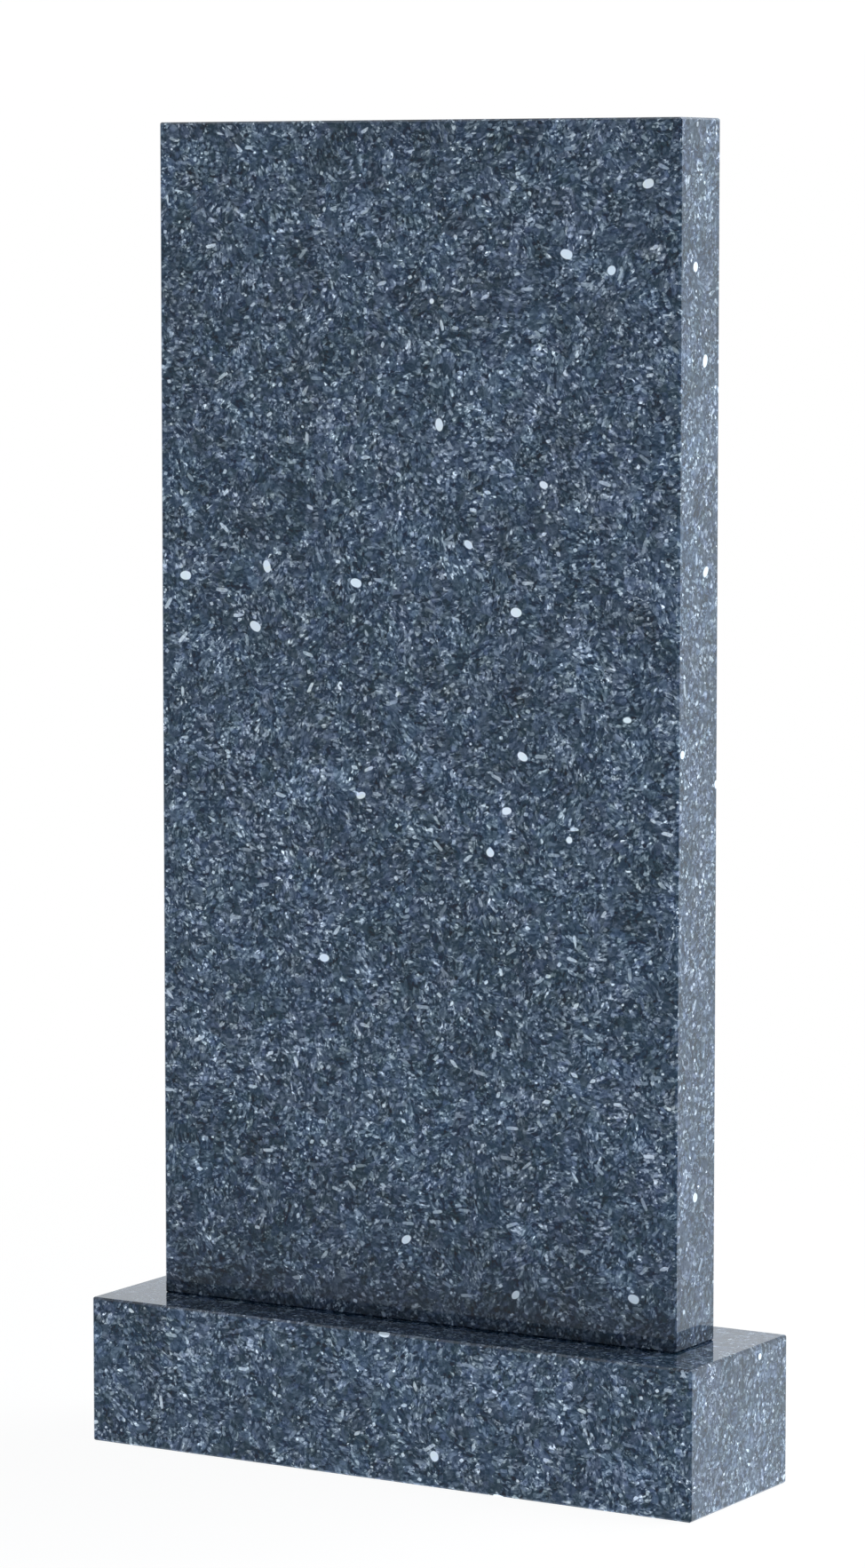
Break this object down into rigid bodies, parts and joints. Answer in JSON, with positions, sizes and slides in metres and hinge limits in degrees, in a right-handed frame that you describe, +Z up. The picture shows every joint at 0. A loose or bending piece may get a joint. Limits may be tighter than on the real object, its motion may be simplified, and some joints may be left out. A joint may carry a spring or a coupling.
{
  "type": "headstone",
  "caption": "Upright headstone: a plain rectangular tablet of polished blue-grey granite standing on a low granite plinth.",
  "frame": {"origin": "middle of the plinth's flat underside, on the ground", "axes": "+Z up, +X to the right across the face as a reader sees it, +Y from the face to the back; the face looks towards -Y"},
  "size_m": [0.7, 0.2, 1.35],
  "materials": {
    "plinth_granite": "polished",
    "tablet_granite": "polished"
  },
  "bodies": {
    "root": {"plinth": "plinth_granite", "tablet": "tablet_granite"}
  },
  "joints": []
}
